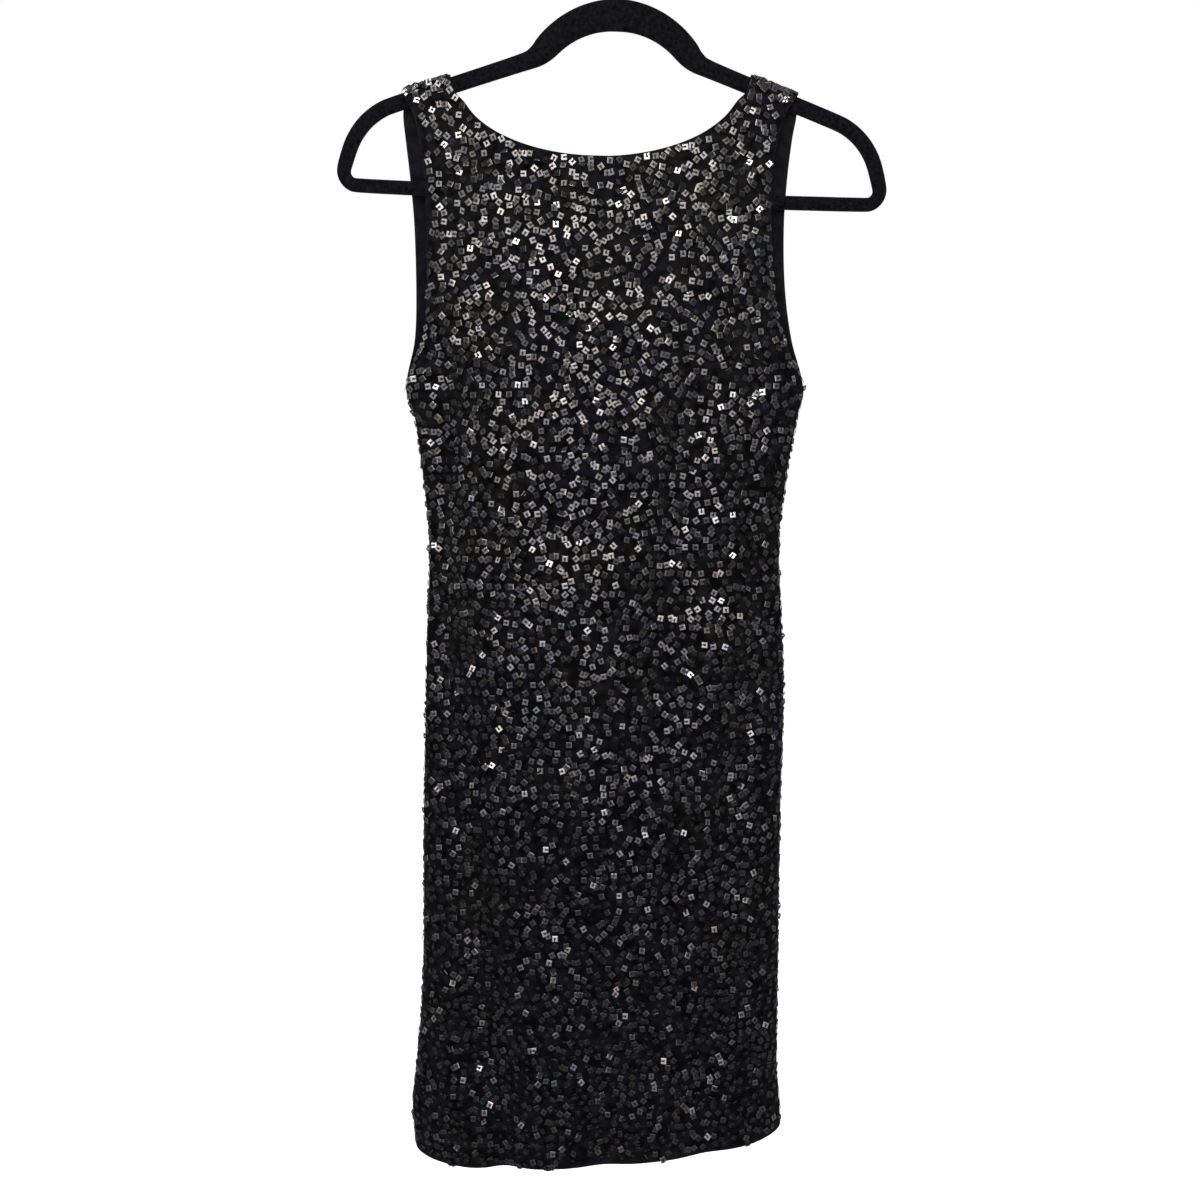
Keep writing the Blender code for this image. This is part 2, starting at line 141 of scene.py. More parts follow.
def cloth_material(name, hex_dark, hex_light, spacing, sheen, roughness):
    made, tree, shader, place = new_material(
        name,
        Roughness=roughness,
        Sheen_Weight=sheen,
        Sheen_Roughness=0.45,
        Specular_IOR_Level=0.05,
    )
    uv = add_node(tree, "ShaderNodeUVMap", uv_map="cloth").outputs["UV"]
    down = add_node(tree, "ShaderNodeSeparateXYZ", {0: uv}).outputs["Y"]
    waves = []
    for direction in ("X", "Y"):
        bands = {"Vector": uv, "Scale": ONE_BAND / spacing, "Distortion": 1.2, "Detail": 1.0}
        wave = add_node(tree, "ShaderNodeTexWave", bands, bands_direction=direction)
        waves.append(wave.outputs["Fac"])
    loops = add_node(tree, "ShaderNodeMath", dict(enumerate(waves)), operation="MULTIPLY")
    pressed = {"Height": loops.outputs[0], "Strength": 0.5, "Distance": 0.25 * MM}
    bump = add_node(tree, "ShaderNodeBump", pressed)
    tones = []
    for scale, detail, heights, shifts, stops in (  # heights on the map, which is 0 at its top
        # painted light: this shift pales the worn patches towards the shoulders, as if lit from
        # above
        (WEAR_AND_PAINTED_LIGHT, 5.0, (-0.32, -0.06), (0.0, 0.07), ((hex_dark, 0.4), (hex_light, 0.68))),
        # painted light: this shift warms the dye above and cools it below, a painted cast of the
        # lamps
        (DYE_AND_PAINTED_CAST, 2.0, (-0.75, -0.1), (0.14, -0.04), ((WARM, 0.42), (COLD, 0.58))),
    ):
        spread = {"Vector": place, "Scale": scale, "Detail": detail}
        patches = add_node(tree, "ShaderNodeTexNoise", spread).outputs["Fac"]
        ends = dict(zip(("From Min", "From Max", "To Min", "To Max"), heights + shifts))
        shift = add_node(tree, "ShaderNodeMapRange", {"Value": down, **ends}).outputs["Result"]
        shifted = add_node(tree, "ShaderNodeMath", {0: patches, 1: shift}, operation="ADD")
        ramp = add_node(tree, "ShaderNodeValToRGB", {"Fac": shifted.outputs[0]}, stops)
        tones.append(ramp.outputs["Color"])
    mixed = {0: 1.0, 6: tones[0], 7: tones[1]}  # the Mix node's factor, A and B
    dyed = add_node(tree, "ShaderNodeMix", mixed, data_type="RGBA", blend_type="MULTIPLY")
    tree.links.new(dyed.outputs[2], shader.inputs["Base Color"])
    tree.links.new(bump.outputs["Normal"], shader.inputs["Normal"])
    return made


# Warp knitted polyamide gives the eye a soft near black with almost no shine. Jersey is a
# little greyer and bluer, with a faint bloom where it turns over an edge.
KNIT = cloth_material("black warp knit", "#030303", "#121214", LOOP, 0.012, 0.85)
JERSEY = cloth_material("black lining jersey", "#0b0b0e", "#15151a", RIB, 0.04, 0.8)
print("cloth materials:", KNIT.name, "and", JERSEY.name)


# %% [markdown]
# ## The dress's form, level by level
# A sheath dress on a hanger is a flattened tube: the hanger's arms hold its straps, and below
# the armholes the front and the back bulge softly apart. Such a form could be sculpted, but a
# dressmaker thinks in levels (shoulder, bust, waist, hip, hem), so a table of levels is easier
# to check against a tape measure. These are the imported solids' own levels, so the cloth lies
# exactly on them. left and right are how far the side reaches from the middle; inset is how
# much deeper the front's armhole is cut; edge is how far the panel's own edge stands off the
# middle plane; front and back are how far each panel then bulges out. All are millimetres.

# %% Tables of the dress's levels, hem and main folds
DRESS_X = -16.6 * MM  # the dress's middle, from the hook's
SEAM_GAP = 0.3 * MM  # between the front and the back where they are sewn
SIDE_POWER = 2.4  # how square the section's sides are; 2 would be an ellipse
SIDE_CROWDING = 0.55  # how much the columns crowd towards the side seams, from 0 to 1
ARMHOLE_BASE = -380 * MM
NECK_HALF_WIDTH = 121.0 * MM
SHOULDER_HALF_WIDTH = 158.0 * MM
STRAP_WIDTH = SHOULDER_HALF_WIDTH - NECK_HALF_WIDTH
NECK_DROP = {"front": 69.0 * MM, "back": 78.0 * MM}
LAYERS = 2.0 * MM  # from the hanger's arm to the outside of the cloth that lies on it

Level = namedtuple("Level", "name height left right inset edge front back")
LEVELS = [
    Level("shoulder end", -150, 160.0, 158.5, 0.0, 6.2, 0.4, 0.4),
    Level("strap top", -163, 161.5, 159.0, 9.5, 6.2, 1.5, 1.0),
    Level("strap", -180, 160.0, 156.0, 13.0, 6.2, 3.2, 2.2),
    Level("upper armhole", -212, 156.5, 152.5, 14.0, 6.2, 7.0, 4.0),
    Level("middle armhole", -250, 153.5, 150.8, 12.5, 6.2, 10.0, 6.5),
    Level("lower armhole", -300, 153.0, 153.2, 11.5, 6.2, 14.0, 9.5),
    Level("armhole curve", -340, 154.8, 159.2, 8.5, 4.8, 18.5, 13.0),
    Level("armhole base", -380, 162.0, 169.0, 0.0, 0.15, 25.0, 18.0),
    Level("bust", -402, 155.5, 164.6, 0.0, 0.15, 27.0, 19.5),
    Level("under the bust", -456, 149.0, 156.0, 0.0, 0.15, 28.5, 21.5),
    Level("waist", -510, 145.6, 151.6, 0.0, 0.15, 29.0, 22.0),
    Level("high hip", -628, 150.8, 158.2, 0.0, 0.15, 33.0, 25.0),
    Level("hip", -750, 155.5, 158.2, 0.0, 0.15, 35.5, 27.0),
    Level("thigh", -900, 160.0, 159.8, 0.0, 0.15, 37.0, 29.0),
    Level("flare", -985, 168.0, 161.0, 0.0, 0.15, 38.0, 30.0),
    Level("near the hem", -1022, 172.2, 164.2, 0.0, 0.15, 38.5, 30.5),
    Level("hem", -1062, 170.2, 167.6, 0.0, 0.15, 39.0, 31.0),
]

HEM_ACROSS = np.array([-173, -150, -100, -50, 0, 50, 100, 140, 169]) * MM
HEM_HEIGHT = np.array([-1060, -1063, -1065.5, -1060.5, -1057.5, -1053, -1049, -1044.5, -1039]) * MM

Fold = namedtuple("Fold", "name top bottom x_top x_mid x_bottom half_width depth")
FOLDS = {
    "front": [
        Fold("left, from the armhole", -310, -680, -126, -131, -134, 17, 6.5),
        Fold("left, to the hem", -560, -1200, -134, -106, -74, 21, 7.5),
        Fold("left of the waist", -430, -610, -106, -96, -82, 14, 3.5),
        Fold("right, below the bust", -340, -730, 78, 60, 35, 18, 6.0),
        Fold("right side", -440, -640, 131, 130, 131, 14, 3.5),
        Fold("right hip", -610, -840, 118, 112, 106, 17, 4.5),
        Fold("middle of the hem", -900, -1200, 8, 3, -4, 20, 3.5),
        Fold("right of the hem", -860, -1200, 84, 92, 104, 20, 3.5),
        Fold("middle ridge", -470, -830, 12, 2, -22, 24, -3.5),
        Fold("right ridge", -500, -680, 98, 101, 100, 17, -3.0),
    ],
    "back": [
        Fold("left, from the armhole", -330, -760, -104, -98, -88, 19, 5.5),
        Fold("left, to the hem", -640, -1200, -118, -110, -98, 21, 6.5),
        Fold("middle of the waist", -420, -700, -18, -10, 4, 20, 4.0),
        Fold("right, from the armhole", -350, -820, 112, 98, 78, 18, 6.0),
        Fold("right, to the hem", -780, -1200, 46, 52, 66, 22, 5.5),
        Fold("middle ridge", -600, -1000, -36, -44, -50, 24, -3.5),
    ],
}
FOLD_FADE = 90 * MM  # a fold dies out over this length at each end
print("dress: %d levels, %d main folds" % (len(LEVELS), sum(map(len, FOLDS.values()))))


# %% [markdown]
# ## Small creases
# Between the main folds a hanging dress has shallow drag lines: from the armholes towards the
# bust, where the side seams pucker, and where the hem's turning is stiffer than the cloth. A
# cloth simulation could find them, but it would also move the main folds off the solids, so
# each is pressed in as a soft trough along a slanted line, no two alike.

# %% Table of small creases, in millimetres
Crease = namedtuple("Crease", "x0 z0 x1 z1 half_width depth")
CREASES = {
    "front": [
        Crease(-118, -345, -60, -402, 9, 1.5),
        Crease(-128, -372, -84, -436, 8, 1.3),
        Crease(124, -340, 74, -398, 9, 1.6),
        Crease(136, -366, 96, -440, 8, 1.4),
        Crease(-96, -240, -84, -330, 10, 1.4),
        Crease(92, -228, 104, -322, 10, 1.5),
        Crease(-30, -262, -22, -420, 15, 1.2),
        Crease(40, -250, 34, -395, 14, 1.2),
        Crease(-128, -492, -88, -516, 7, 1.3),
        Crease(-130, -530, -96, -541, 7, 1.0),
        Crease(132, -486, 92, -506, 7, 1.3),
        Crease(134, -540, 100, -552, 7, 1.1),
        Crease(-52, -560, -46, -760, 12, 1.6),
        Crease(66, -640, 78, -860, 13, 1.6),
        Crease(-10, -690, -30, -900, 13, 1.4),
        Crease(36, -830, 30, -1030, 12, 1.8),
        Crease(-112, -860, -120, -1062, 12, 1.8),
        Crease(-36, -930, -44, -1066, 11, 1.7),
        Crease(66, -960, 70, -1056, 10, 1.6),
        Crease(132, -900, 136, -1050, 11, 1.6),
        Crease(-150, -960, -158, -1060, 8, 1.2),
        Crease(84, -540, 112, -564, 9, -2.0),
        Crease(-150, -374, -66, -398, 19, 2.4),
        Crease(150, -366, 70, -402, 18, 2.2),
        Crease(50, -582, 134, -590, 18, -2.8),
    ],
    "back": [
        Crease(-116, -350, -66, -410, 9, 1.5),
        Crease(120, -352, 76, -418, 9, 1.5),
        Crease(-60, -236, -54, -380, 13, 1.3),
        Crease(58, -232, 66, -366, 13, 1.3),
        Crease(-124, -498, -82, -520, 7, 1.3),
        Crease(126, -504, 90, -528, 7, 1.3),
        Crease(20, -560, 30, -780, 13, 1.6),
        Crease(-66, -760, -60, -1010, 13, 1.7),
        Crease(96, -880, 104, -1056, 12, 1.8),
        Crease(0, -900, -8, -1062, 12, 1.8),
        Crease(-140, -940, -146, -1062, 10, 1.5),
        Crease(134, -930, 140, -1050, 10, 1.5),
        Crease(-146, -386, -74, -412, 18, 2.2),
        Crease(142, -380, 78, -406, 17, 2.1),
        Crease(-126, -596, -56, -606, 17, -2.4),
    ],
}
CREASE_ENDS = 3  # a crease dies out over one part in this many of its length, at each end
print("small creases:", sum(map(len, CREASES.values())))


# %% [markdown]
# ## A panel as a surface
# A point on a panel is found from its share of the way across and its height. The section at a
# height is half of a flattened oval, walked by its length so that columns stay even on the
# cloth. numpy works out all the points of a panel at once.

# %% Functions for a panel's surface
def mix(a, b, share):
    return a + (b - a) * share


def smooth(share):
    share = np.clip(share, 0.0, 1.0)
    return share * share * (3 - 2 * share)


def at_height(column, heights):
    """A column of LEVELS at some heights, on a smooth curve through its rows."""
    rows = np.array([level.height for level in LEVELS]) * MM
    values = np.array([getattr(level, column) for level in LEVELS]) * MM
    slopes = np.gradient(values, np.arange(len(rows))) / np.gradient(rows, np.arange(len(rows)))
    heights = np.clip(heights, rows[-1], rows[0])
    k = np.clip(np.searchsorted(-rows, -heights, side="left") - 1, 0, len(rows) - 2)
    span = rows[k + 1] - rows[k]
    t = (heights - rows[k]) / span
    start, end = slopes[k] * span, slopes[k + 1] * span
    a = 2 * (values[k] - values[k + 1]) + start + end
    b = 3 * (values[k + 1] - values[k]) - 2 * start - end
    return ((a * t + b) * t + start) * t + values[k]


def fold_depth(side, x, heights):
    """How far the main folds and the small creases sink the cloth."""
    sunk = np.zeros_like(x)
    for f in FOLDS[side]:
        t = (f.top * MM - heights) / ((f.top - f.bottom) * MM)
        line = mix(mix(f.x_top, f.x_mid, t), mix(f.x_mid, f.x_bottom, t), t) * MM
        fade = smooth(np.minimum(t, 1 - t) * (f.top - f.bottom) * MM / FOLD_FADE)
        sunk += f.depth * MM * fade * np.exp(-(((x - line) / (f.half_width * MM)) ** 2))
    for c in CREASES[side]:
        start, along = np.array([c.x0, c.z0]) * MM, np.array([c.x1 - c.x0, c.z1 - c.z0]) * MM
        length = math.hypot(*along)
        t = ((x - start[0]) * along[0] + (heights - start[1]) * along[1]) / length**2
        off = ((x - start[0]) * along[1] - (heights - start[1]) * along[0]) / length
        fade = smooth((0.5 - np.abs(t - 0.5)) * CREASE_ENDS)
        sunk += c.depth * MM * fade * np.exp(-((off / (c.half_width * MM)) ** 2))
    return sunk


SECTION_STEPS = 120
SEAM_REACH = 0.05  # the share of a panel's width over which its folds die out at a side seam
ANGLES = np.pi * (np.arange(SECTION_STEPS + 1) / SECTION_STEPS - 0.5)
OVAL_X = np.sign(ANGLES) * np.abs(np.sin(ANGLES)) ** (2 / SIDE_POWER)
OVAL_Y = np.clip(np.cos(ANGLES), 0, None) ** (2 / SIDE_POWER)


def sections(side, heights):
    """For each height, the panel's line across: shares of its length, x and y."""
    left, right = at_height("left", heights), at_height("right", heights)
    if side == "front":
        left = left - at_height("inset", heights)
        right = right - at_height("inset", heights)
    edge, bulge = at_height("edge", heights), at_height(side, heights)
    x = ((right - left) / 2)[:, None] + ((right + left) / 2)[:, None] * OVAL_X
    y = edge[:, None] + bulge[:, None] * OVAL_Y
    walked = np.hypot(np.diff(x, axis=1), np.diff(y, axis=1)).cumsum(axis=1)
    walked = np.hstack([np.zeros((len(heights), 1)), walked])
    return walked / walked[:, -1:], x, y


def panel_points(side, shares, heights):
    """Points on the outside of a panel, in the dress's own frame, with y counted outwards."""
    walked, x, y = sections(side, heights)
    k = np.clip((walked <= shares[:, None]).sum(axis=1) - 1, 0, SECTION_STEPS - 1)
    row = np.arange(len(k))
    t = (shares - walked[row, k]) / (walked[row, k + 1] - walked[row, k])
    x0, x1, y0, y1 = x[row, k], x[row, k + 1], y[row, k], y[row, k + 1]
    px, py = mix(x0, x1, t), mix(y0, y1, t)
    sunk = fold_depth(side, px, heights) * smooth(np.minimum(shares, 1 - shares) / SEAM_REACH)
    length = np.hypot(x1 - x0, y1 - y0)
    return px + sunk * (y1 - y0) / length, py - sunk * (x1 - x0) / length


def share_at(side, x_wanted, heights):
    """The shares of a panel's width at which it is so far across."""
    walked, x, _ = sections(side, heights)
    return np.array([np.interp(xw, xs, ws) for xw, xs, ws in zip(x_wanted, x, walked)])


# %% [markdown]
# ## The shoulder line
# The straps lie on the hanger's arms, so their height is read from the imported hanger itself
# rather than typed in: the highest point of the arm under each end of a strap, and then up by
# the cloth's layers.

# %% Find the arm's top under each strap
def arm_top(x):
    """The height of the top of the hanger's arm at a place across."""
    tree = BVHTree.FromObject(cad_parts["hanger_frame"], bpy.context.evaluated_depsgraph_get())
    hit, _, _, _ = tree.ray_cast(Vector((x, 0, 0)), Vector((0, 0, -1)))
    return hit.z


SEAM, DROP = {}, {}
for way in (-1, 1):
    neck_end = arm_top(way * NECK_HALF_WIDTH + DRESS_X)
    DROP[way] = neck_end - arm_top(way * SHOULDER_HALF_WIDTH + DRESS_X)
    SEAM[way] = neck_end + LAYERS * math.hypot(1, DROP[way] / STRAP_WIDTH)
print("shoulder seams at, mm:", {way: round(z / MM, 1) for way, z in SEAM.items()})


def seam_height(x):
    seam, drop = (np.where(x < 0, sides[-1], sides[1]) for sides in (SEAM, DROP))
    reach = np.clip(np.abs(x), NECK_HALF_WIDTH, SHOULDER_HALF_WIDTH)
    return seam - drop * (reach - NECK_HALF_WIDTH) / STRAP_WIDTH


# %% [markdown]
# ## Columns of points from the shoulder to the hem
# The cloth is a grid of columns. Each starts on the shoulder seam or on the neckline, turns
# over the arm, runs down to the armhole's base and on to the hem. The same counts in finer
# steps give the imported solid's own lines, only smoother.

# %% Build a panel's grid of points
FINE = 3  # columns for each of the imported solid's
STRAP_COLUMNS, NECK_COLUMNS = 4, 22
NECK_CROWDING = 1.35  # above 1 crowds the neckline's columns towards its steep ends
TURN_ROWS, UPPER_ROWS, LOWER_ROWS = 8, 38, 92


def column_tops(side):
    """Where each column starts across the dress, and how far down the cloth."""
    steps = np.linspace(0, 1, STRAP_COLUMNS * FINE + 1)
    turn = math.pi / 2 * np.linspace(0, 1, NECK_COLUMNS // 2 * FINE + 1)[1:] ** NECK_CROWDING
    neck = NECK_HALF_WIDTH * np.clip(np.cos(turn), 0, None)
    half = np.append(SHOULDER_HALF_WIDTH - STRAP_WIDTH * steps, neck)
    down = np.append(0 * steps, NECK_DROP[side] * np.sin(turn))
    return np.append(-half, half[-2::-1]), np.append(down, down[-2::-1])


def panel_grid(side):
    """The outside of a panel: columns by rows of points, in the part's own frame."""
    x_top, down = column_tops(side)
    count = len(x_top)
    k = np.arange(count) / (count - 1)
    base_share = mix(k, 0.5 - 0.5 * np.cos(np.pi * k), SIDE_CROWDING)
    seam = seam_height(x_top)
    off = at_height("edge", seam) + at_height(side, seam) - SEAM_GAP / 2
    turn = off * math.pi / 2
    top_share = share_at(side, x_top, seam - np.maximum(0.0, down - turn))
    rows = []
    for row in range(TURN_ROWS + 1):
        walked = down + turn * row / TURN_ROWS
        turning = walked < turn
        angle = np.minimum(walked / off, math.pi / 2)
        height = seam - off + np.where(turning, off * np.cos(angle), turn - walked)
        x, y_below = panel_points(side, top_share, height)
        y = np.where(turning, SEAM_GAP / 2 + off * np.sin(angle), y_below)
        rows.append((x, y, height))
    start = rows[-1][2]
    for row in range(1, UPPER_ROWS + 1):
        t = row / UPPER_ROWS
        height = mix(start, ARMHOLE_BASE, t)
        rows.append((*panel_points(side, mix(top_share, base_share, smooth(t)), height), height))
    x_hem, _ = panel_points(side, base_share, np.full(count, HEM_HEIGHT[0]))
    hem = np.interp(x_hem, HEM_ACROSS, HEM_HEIGHT)
    for row in range(1, LOWER_ROWS + 1):
        height = mix(ARMHOLE_BASE, hem, row / LOWER_ROWS)
        rows.append((*panel_points(side, base_share, height), height))
    grid = np.transpose(np.array(rows), (2, 0, 1))  # from row, axis, column
    grid[..., 0] += DRESS_X
    grid[..., 1] *= FACING[side]
    return grid


def grid_normals(grid, side):
    across = np.gradient(grid, axis=0)
    down = np.gradient(grid, axis=1)
    normals = np.cross(down, across) if side == "front" else np.cross(across, down)
    normals[np.abs(grid[..., 1]) < SEAM_GAP, 1] = 0.0
    return normals / np.linalg.norm(normals, axis=2, keepdims=True)


grids = {side: panel_grid(side) for side in SIDES}
normals = {side: grid_normals(grids[side], side) for side in SIDES}
for side, grid in grids.items():
    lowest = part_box(side + "_panel")[0]
    apart = [abs(grid[..., axis].min() - lowest[axis]) / MM for axis in range(3)]
    print(side, "grid", grid.shape[:2], "lowest corner is off by, mm:", np.round(apart, 2))


# %% [markdown]
# ## Cut the cloth
# The wall of cloth is the grid, the same grid a little further in, and a rounded turning along
# every edge, as where a knit is folded over its lining and pressed. Its outside is knit, its
# inside and turnings are jersey. The map is the cloth's own: metres across and down it, so the
# loops of the knit keep their size and follow the folds.

# %% Helpers for the wall of cloth
WALL = 1.3 * MM
TURNING = 0.45 * MM  # how far the rounded edge stands past the cloth's cut


def grid_faces(side):
    """The numbers of a panel's points, and the faces between them, turned outwards."""
    columns, rows = grids[side].shape[:2]
    ids = np.arange(columns * rows).reshape(columns, rows)
    faces = np.stack([ids[:-1, :-1], ids[:-1, 1:], ids[1:, 1:], ids[1:, :-1]], axis=-1)
    faces = faces.reshape(-1, 4)
    return ids, faces[:, ::-1] if side == "back" else faces


def turned_edge(side, ids, outside, inside):
    """The numbers of the points along the cut, and the points that its turning goes round."""
    ring = [*ids[:, 0], *ids[-1, 1:], *ids[-2::-1, -1], *ids[0, -2:0:-1]]
    along = outside[ring[1:] + ring[:1]] - outside[ring[-1:] + ring[:-1]]
    away = np.cross(along, normals[side].reshape(-1, 3)[ring])
    away /= np.linalg.norm(away, axis=1, keepdims=True)
    middle = (outside[ring] + inside[ring]) / 2
    panel_middle = outside[ids[ids.shape[0] // 2, ids.shape[1] // 2]]
    if np.mean(np.einsum("ij,ij->i", away, middle - panel_middle)) < 0:
        away = -away
    middle = middle + away * TURNING
    middle[np.abs(outside[ring][:, 1]) < 2 * SEAM_GAP, 1] = FACING[side] * SEAM_GAP / 2
    return ring, middle


def cloth_lengths(grid):
    """How far each point is across the cloth from its middle column, and down from its top."""
    across, down = np.zeros(grid.shape[:2]), np.zeros(grid.shape[:2])
    across[1:] = np.linalg.norm(np.diff(grid, axis=0), axis=2).cumsum(axis=0)
    across -= across[len(grid) // 2]
    down[:, 1:] = np.linalg.norm(np.diff(grid, axis=1), axis=2).cumsum(axis=1)
    return across, down


# %% Make the two panels of cloth
def cloth_panel(side):
    """A panel of cloth, and the width, length and area that it was cut to."""
    grid, facing = grids[side], FACING[side]
    inside = grid - normals[side] * WALL
    inside[..., 1] = facing * np.maximum(inside[..., 1] * facing, SEAM_GAP / 2)
    outside, inside = grid.reshape(-1, 3), inside.reshape(-1, 3)
    ids, outer_faces = grid_faces(side)
    count = len(outside)
    ring, middle = turned_edge(side, ids, outside, inside)
    faces = outer_faces.tolist() + (outer_faces[:, ::-1] + count).tolist()
    for k in range(len(ring)):
        n = (k + 1) % len(ring)
        one, two = ring[k], ring[n]
        edge, edge_next = 2 * count + k, 2 * count + n
        strips = [(one, edge, edge_next, two), (edge, one + count, two + count, edge_next)]
        faces += [s if side == "back" else s[::-1] for s in strips]
    mesh = bpy.data.meshes.new(side + "_cloth")
    points = np.vstack([outside, inside, middle])
    mesh.from_pydata(points.tolist(), [], [list(map(int, f)) for f in faces])
    mesh.materials.append(KNIT)
    mesh.materials.append(JERSEY)
    kinds = np.ones(len(mesh.polygons), np.int32)
    kinds[: len(outer_faces)] = 0
    mesh.polygons.foreach_set("material_index", kinds)
    across, down = cloth_lengths(grid)
    flat = np.stack([across, -down], axis=-1).reshape(-1, 2)
    flat = np.vstack([flat, flat, flat[ring]])
    corners = np.empty(len(mesh.loops), np.int32)
    mesh.loops.foreach_get("vertex_index", corners)
    mesh.uv_layers.new(name="cloth").data.foreach_set("uv", flat[corners].ravel())
    mesh.shade_smooth()
    mesh.validate()
    obj = show(side + "_cloth", mesh)
    select_only(obj)
    bpy.ops.object.mode_set(mode="EDIT")
    bpy.ops.mesh.select_all(action="SELECT")
    bpy.ops.mesh.normals_make_consistent(inside=False)
    bpy.ops.object.mode_set(mode="OBJECT")
    edges = np.cross(grid[1:, :-1] - grid[:-1, :-1], grid[:-1, 1:] - grid[:-1, :-1])
    area = np.linalg.norm(edges, axis=2).sum()
    return obj, ((across[-1] - across[0]).max(), down.max(), area)


cloth, cut = {}, {}
for side in SIDES:
    cloth[side], cut[side] = cloth_panel(side)


# %% [markdown]
# ## One sequin
# The sequins are 5 mm squares punched from metallised film, a little dished, with a hole in
# the middle, each held by a black thread that comes up through the hole and over one edge. One
# is modelled: a thin block whose top is inset and raised, which leaves the rolled rim
# of a stamped piece, and whose two faces are then inset again and bridged into a hole. It is
# copied ten thousand times, so it has only 20 faces, and its stitch is a plain bar of six.
# A flat map goes with them, on which no two faces overlap, so that the finish can be baked.

# %% Model one sequin and its stitch
SEQUIN = 4.8 * MM  # a 5 mm sequin, across its rolled edges
FILM = 0.2 * MM
RIM, DISH = 0.4 * MM, 0.09 * MM  # the rolled rim's width, and how far it drops
HOLE = 1.8 * MM
STITCH = (2.9 * MM, 1.1 * MM, 0.3 * MM)
STITCH_MIDDLE = 1.15 * MM  # from the middle of the hole
STITCH_DIP = 0.1 * MM  # how far its outer end goes down to the cloth
FLAT = 0.9  # a face lies flat where its normal's z is past this


def select_faces(obj, wanted):
    """In edit mode with faces, selects those for which wanted(middle, normal) is true."""
    bpy.ops.mesh.select_mode(type="FACE")
    bpy.ops.mesh.select_all(action="DESELECT")
    bpy.ops.object.mode_set(mode="OBJECT")
    for face in obj.data.polygons:
        face.select = wanted(face.center, face.normal)
    bpy.ops.object.mode_set(mode="EDIT")


def model_sequin():
    bpy.ops.object.select_all(action="DESELECT")
    bpy.ops.mesh.primitive_cube_add(size=1)
    obj = bpy.context.active_object
    obj.scale = (SEQUIN, SEQUIN, FILM)
    bpy.ops.object.transform_apply(location=False, rotation=False, scale=True)
    bpy.ops.object.mode_set(mode="EDIT")
    select_faces(obj, lambda middle, normal: normal.z > FLAT)
    bpy.ops.mesh.inset(thickness=RIM)
    bpy.ops.transform.translate(value=(0, 0, DISH))
    bpy.ops.mesh.inset(thickness=(SEQUIN - HOLE) / 2 - RIM)
    select_faces(obj, lambda middle, normal: normal.z < -FLAT)
    bpy.ops.mesh.inset(thickness=(SEQUIN - HOLE) / 2)
    select_faces(
        obj, lambda middle, normal: abs(normal.z) > FLAT and middle.to_2d().length < HOLE / 8
    )
    bpy.ops.mesh.bridge_edge_loops()
    bpy.ops.mesh.select_all(action="SELECT")
    bpy.ops.mesh.normals_make_consistent(inside=False)
    bpy.ops.object.mode_set(mode="OBJECT")
    return obj


def model_stitch():
    """A bar of thread from the hole over one edge of the sequin, dipping into the cloth."""
    bpy.ops.object.select_all(action="DESELECT")
    bpy.ops.mesh.primitive_cube_add(size=1, location=(STITCH_MIDDLE, 0, FILM / 2 + DISH))
    obj = bpy.context.active_object
    obj.scale = STITCH
    bpy.ops.object.transform_apply(location=True, rotation=False, scale=True)
    for vertex in obj.data.vertices:
        if vertex.co.x > STITCH_MIDDLE:
            vertex.co.z -= STITCH_DIP
    return obj


def take_shape(obj):
    """A model's points and faces as plain tables; the model itself is then removed."""
    points = np.array([v.co for v in obj.data.vertices])
    faces = [list(f.vertices) for f in obj.data.polygons]
    bpy.data.objects.remove(obj, do_unlink=True)
    return points, faces


# %% Unfold them on a square of side 1
WIDE = 0.45  # the sequin's width on the map, seen from above and from below
ABOVE, BELOW = (0.25, 0.25), (0.75, 0.25)  # the middles of these two views
NARROW = 0.13 * np.array([(0, 0), (1, 0), (1, 1), (0, 1)])  # any other face
IN_A_ROW = 5  # narrow faces side by side
FIRST_NARROW, NARROW_STEP = np.array([0.03, 0.54]), np.array([0.19, 0.15])


def unfold(points, faces, spare, wide):
    """The places of the faces' corners, and the number of narrow places taken so far."""
    places = []
    for face in faces:
        corners = points[face]
        normal = np.cross(corners[1] - corners[0], corners[2] - corners[0])
        if wide and abs(normal[2]) > 0.5 * np.linalg.norm(normal):
            places.append(corners[:, :2] / SEQUIN * WIDE + (ABOVE if normal[2] > 0 else BELOW))
        else:
            row, column = divmod(spare, IN_A_ROW)
            places.append(NARROW + (FIRST_NARROW + NARROW_STEP * (column, row)))
            spare += 1
    return np.vstack(places), spare


sequin_shape = take_shape(model_sequin())
stitch_shape = take_shape(model_stitch())
sequin_map, narrow = unfold(*sequin_shape, 0, True)
stitch_map, narrow = unfold(*stitch_shape, narrow, False)
one_map = np.vstack([sequin_map, stitch_map])
print("sequin: %d points, %d faces" % (len(sequin_shape[0]), len(sequin_shape[1])))
print("its map has %d narrow faces, from %.2f to %.2f" % (narrow, one_map.min(), one_map.max()))


# %% [markdown]
# ## Sew the sequins on in wandering lines
# The machine that sews them on feeds a string of sequins and wanders over the cloth, so they
# touch or overlap along a line, and the lines fill the cloth without a pattern. A random
# scatter would leave clumps and gaps that real work doesn't have. A needle is therefore walked
# over the cloth: it steps by about a sequin, turns a little, and keeps off the lines already
# sewn. On the straps' tops the sequins bunch, and along the neck and the hem they lie flatter,
# so that the cloth's edge shows. The random numbers have a seed, so the dress is the same each
# time.

# %% Find the rims and the neighbours
MARGIN = {"armhole": 3.6 * MM, "seam": 2.3 * MM, "neck": 2.8 * MM, "hem": 1.4 * MM}
BOX = 8 * MM  # neighbours are looked up in boxes of this size, above the widest gap


